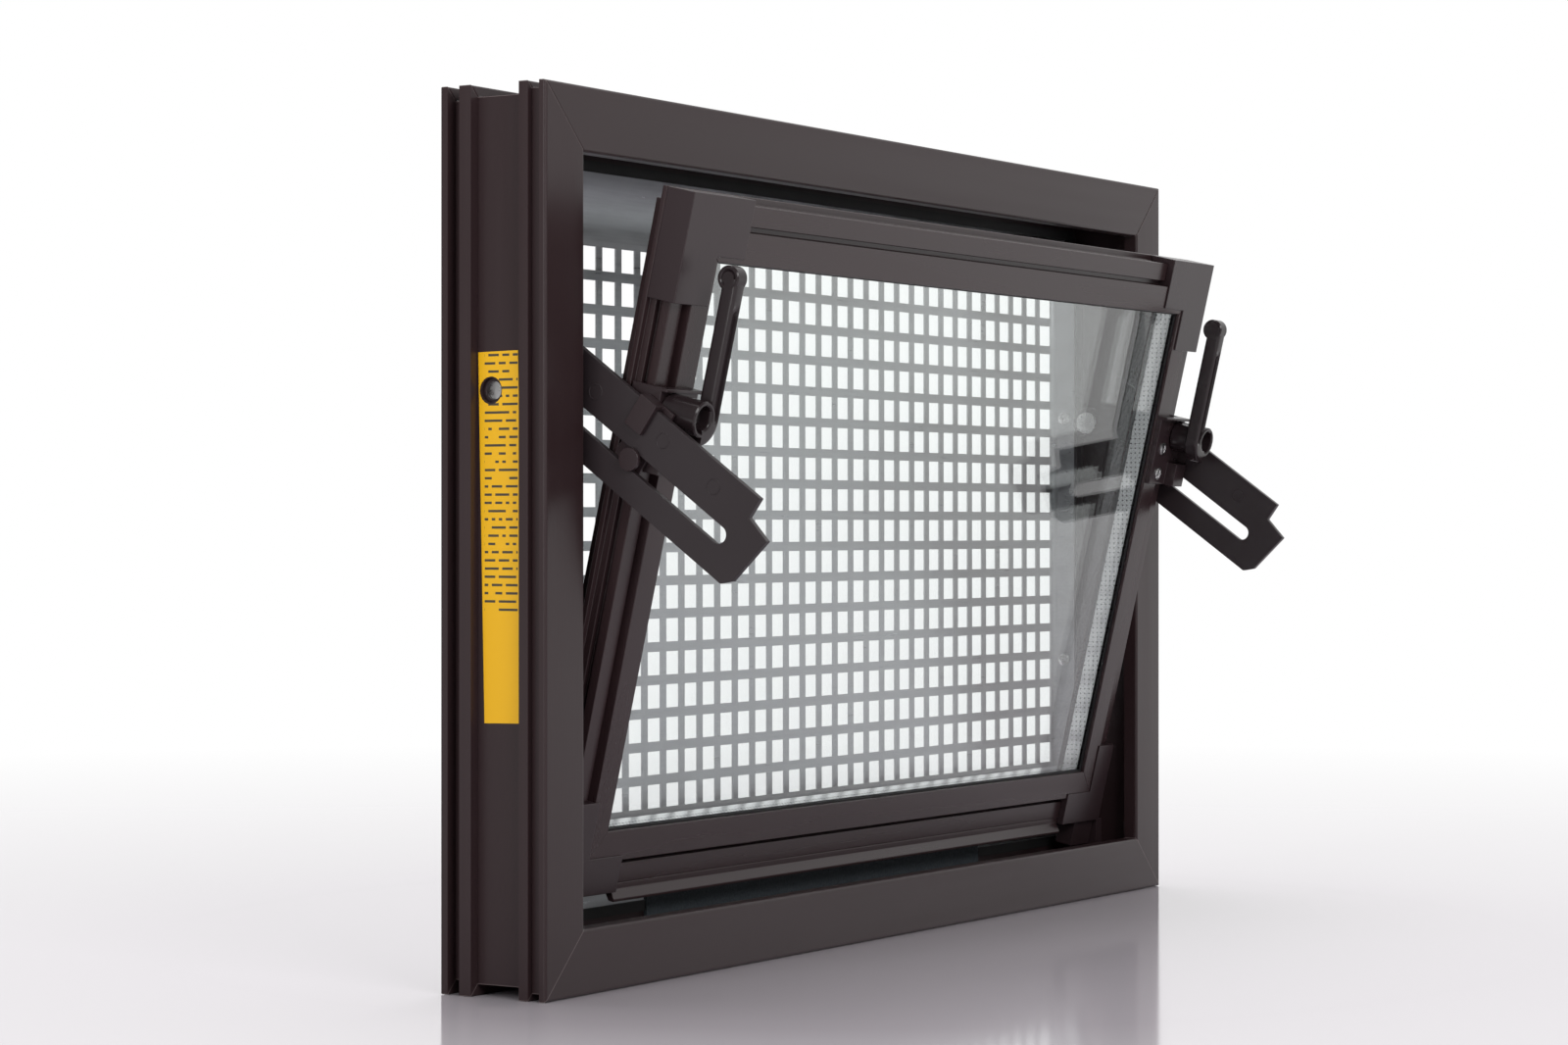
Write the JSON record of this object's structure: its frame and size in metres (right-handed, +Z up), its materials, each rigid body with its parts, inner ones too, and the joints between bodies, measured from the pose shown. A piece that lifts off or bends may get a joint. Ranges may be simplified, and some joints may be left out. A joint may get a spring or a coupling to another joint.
{
  "type": "tilting cellar window with crank levers",
  "caption": "Dark plastic cellar window: a double-glazed sash tilts into the room on slotted stay arms, with turning crank levers on its stiles and a perforated metal grille behind.",
  "frame": {"origin": "middle of the frame underside, in the middle of its depth", "axes": "+Z up, +X to the right seen from the room, +Y away from the room"},
  "size_m": [0.6, 0.1526, 0.4],
  "materials": {
    "frame_pvc": "satin extruded rigid plastic, dark brown",
    "sash_pvc": "satin extruded rigid plastic, dark brown",
    "moulded_plastic": "fine-grained moulded plastic, dark brown",
    "arm_plastic": "moulded plastic, dark brown",
    "crank_plastic": "polished moulded plastic, dark brown",
    "zinc_steel": "zinc-plated",
    "black_rubber": "extruded gasket",
    "edge_sealant": "butyl and sealant",
    "spacer_aluminium": "bright perforated bar",
    "glass": "clear float glass",
    "galvanised_sheet": "galvanised",
    "label_film": "yellow printed film, no lettering",
    "grey_foam": "closed-cell foam strip, blue-grey"
  },
  "bodies": {
    "frame": {"bearing_screws": "zinc_steel", "channel_label": "label_film", "frame_gasket": "black_rubber", "frame_head": "frame_pvc", "frame_jamb_left": "frame_pvc", "frame_jamb_right": "frame_pvc", "frame_sill": "frame_pvc", "grille": "galvanised_sheet", "grille_screws": "zinc_steel", "hinge_bearing_left": "moulded_plastic", "hinge_bearing_right": "moulded_plastic", "pivot_bush_left": "moulded_plastic", "pivot_bush_right": "moulded_plastic", "pivot_pin_left": "zinc_steel", "pivot_pin_right": "zinc_steel", "sill_strip": "grey_foam"},
    "sash": {"bracket_left": "moulded_plastic", "bracket_right": "moulded_plastic", "bracket_screws": "zinc_steel", "corner_cap_bottom_left": "moulded_plastic", "corner_cap_bottom_right": "moulded_plastic", "corner_cap_top_left": "moulded_plastic", "corner_cap_top_right": "moulded_plastic", "crank_retainer_left": "zinc_steel", "crank_retainer_right": "zinc_steel", "crank_spindle_left": "zinc_steel", "crank_spindle_right": "zinc_steel", "drip_lip": "sash_pvc", "edge_seal": "edge_sealant", "glazing_gasket_back": "black_rubber", "glazing_gasket_front": "black_rubber", "hinge_pin_left": "zinc_steel", "hinge_pin_right": "zinc_steel", "pane_back": "glass", "pane_front": "glass", "sash_foot_left": "moulded_plastic", "sash_foot_right": "moulded_plastic", "sash_rail_bottom": "sash_pvc", "sash_rail_top": "sash_pvc", "sash_stile_left": "sash_pvc", "sash_stile_right": "sash_pvc", "spacer_bar": "spacer_aluminium"},
    "crank_left": {"crank_left": "crank_plastic"},
    "crank_right": {"crank_right": "crank_plastic"},
    "arm_left": {"stay_arm_left": "arm_plastic"},
    "arm_right": {"stay_arm_right": "arm_plastic"},
    "claw_left": {"claw_left": "moulded_plastic", "guide_pin_left": "moulded_plastic"},
    "claw_right": {"claw_right": "moulded_plastic", "guide_pin_right": "moulded_plastic"}
  },
  "joints": [
    {"name": "sash_tilt", "type": "hinge", "parent": "frame", "child": "sash", "pos_m": [0, 0.0013, 0.032], "axis": [-1, 0, 0], "range_deg": [0, 13.08]},
    {"name": "arm_left_swing", "type": "hinge", "parent": "frame", "child": "arm_left", "pos_m": [-0.266, 0.0043, 0.266], "axis": [1, 0, 0], "range_deg": [0, 53.43]},
    {"name": "claw_left_slide", "type": "slide", "parent": "arm_left", "child": "claw_left", "axis": [0, 0.8111, 0.585], "range_m": [0, 0.03879]},
    {"name": "crank_left_turn", "type": "hinge", "parent": "sash", "child": "crank_left", "pos_m": [-0.2534, -0.0684, 0.25524], "axis": [0, 0.9741, 0.2263], "range_deg": [0, 90]},
    {"name": "arm_right_swing", "type": "hinge", "parent": "frame", "child": "arm_right", "pos_m": [0.266, 0.0043, 0.266], "axis": [1, 0, 0], "range_deg": [0, 53.43]},
    {"name": "claw_right_slide", "type": "slide", "parent": "arm_right", "child": "claw_right", "axis": [0, 0.8111, 0.585], "range_m": [0, 0.03879]},
    {"name": "crank_right_turn", "type": "hinge", "parent": "sash", "child": "crank_right", "pos_m": [0.2534, -0.0684, 0.25524], "axis": [0, -0.9741, -0.2263], "range_deg": [0, 90]}
  ],
  "couplings": [
    {"joint": "arm_left_swing", "follows": "sash_tilt", "ratio": 4.0848},
    {"joint": "claw_left_slide", "follows": "sash_tilt", "m_per_rad": 0.1699},
    {"joint": "arm_right_swing", "follows": "sash_tilt", "ratio": 4.0848},
    {"joint": "claw_right_slide", "follows": "sash_tilt", "m_per_rad": 0.1699}
  ]
}
